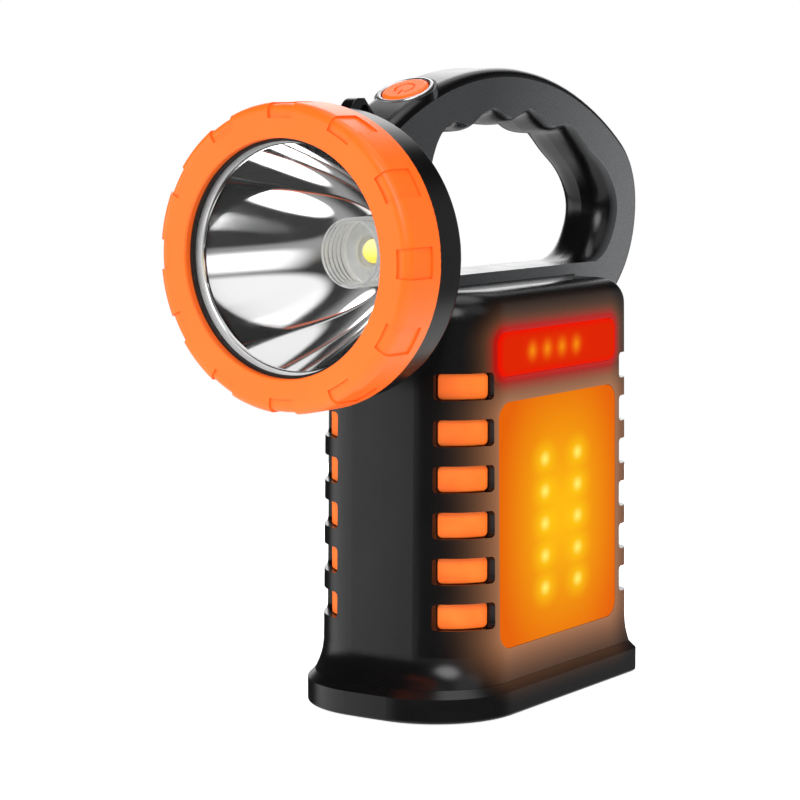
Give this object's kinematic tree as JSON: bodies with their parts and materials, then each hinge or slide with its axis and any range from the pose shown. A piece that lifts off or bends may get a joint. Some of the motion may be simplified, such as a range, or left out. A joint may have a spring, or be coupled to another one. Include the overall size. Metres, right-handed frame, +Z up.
{
  "type": "firefighter flashlight",
  "caption": "Hand-held fire-service searchlight: round lamp head, box body with amber and red side lights, finger-grip carry handle with a thumb switch.",
  "frame": {"origin": "middle of the foot pad's underside, on the ground", "axes": "+Z up; the beam points along -Y; the amber and red side lights face +X"},
  "size_m": [0.085, 0.1833, 0.1874],
  "materials": {
    "black_moulding": "fine moulded texture, satin",
    "orange_moulding": "smooth moulded gloss",
    "orange_grip": "smooth satin elastomer",
    "clear_lens": "polished clear",
    "mirror_coating": "vacuum-metallised mirror",
    "collar_plastic": "moulded, translucent",
    "led_phosphor": "phosphor dome",
    "led_board_metal": "solder-masked aluminium board",
    "heat_sink_metal": "die-cast",
    "black_rubber": "matt elastomer",
    "screw_steel": "plated",
    "amber_lens": "translucent amber diffuser",
    "amber_led": "clear package",
    "red_lens": "translucent red",
    "red_led": "clear package",
    "circuit_board": "solder mask",
    "button_ring_metal": "bright turned ring",
    "white_plastic": "moulded",
    "switch_plastic": "moulded",
    "battery_wrap": "shrink sleeve",
    "contact_metal": "nickel-plated spring steel",
    "component_plastic": "moulded packages",
    "socket_metal": "plated shell",
    "wire_insulation": "insulated wire"
  },
  "bodies": {
    "case": {"bezel_ring": "orange_moulding", "lens_gasket": "black_rubber", "front_lens": "clear_lens", "reflector": "mirror_coating", "led_collar": "collar_plastic", "led_emitter": "led_phosphor", "led_board": "led_board_metal", "heat_sink": "heat_sink_metal", "head_housing": "black_moulding", "bezel_seal": "black_rubber", "head_screws": "screw_steel", "body_shell_left": "black_moulding", "body_shell_right": "black_moulding", "handle_screws": "screw_steel", "shell_screws": "screw_steel", "grip_insert_front_left": "orange_grip", "grip_insert_front_right": "orange_grip", "grip_insert_back_left": "orange_grip", "grip_insert_back_right": "orange_grip", "amber_diffuser": "amber_lens", "amber_led_board": "circuit_board", "amber_leds": "amber_led", "red_lens": "red_lens", "red_led_board": "circuit_board", "red_leds": "red_led", "button_ring": "button_ring_metal", "power_switch": "switch_plastic", "switch_board": "circuit_board", "strap_lug": "black_moulding", "base_cover": "black_moulding", "base_screws": "screw_steel", "base_pad": "black_rubber", "battery_cells": "battery_wrap", "battery_holder": "switch_plastic", "battery_springs": "contact_metal", "battery_tabs": "contact_metal", "main_circuit_board": "circuit_board", "board_components": "component_plastic", "charging_socket": "socket_metal", "flap_pin": "screw_steel", "switch_wires": "wire_insulation"},
    "button": {"power_button": "orange_moulding", "switch_plunger": "white_plastic"},
    "flap": {"charging_flap": "black_rubber"}
  },
  "joints": [
    {"name": "button_press", "type": "slide", "parent": "case", "child": "button", "axis": [0, 0.4131, -0.9107], "range_m": [0, 0.0008], "stiffness_N_per_m": 1500},
    {"name": "charging_flap_hinge", "type": "hinge", "parent": "case", "child": "flap", "pos_m": [0.0094, 0.0501, 0.0456], "axis": [1, 0, 0], "range_deg": [0, 80]}
  ]
}
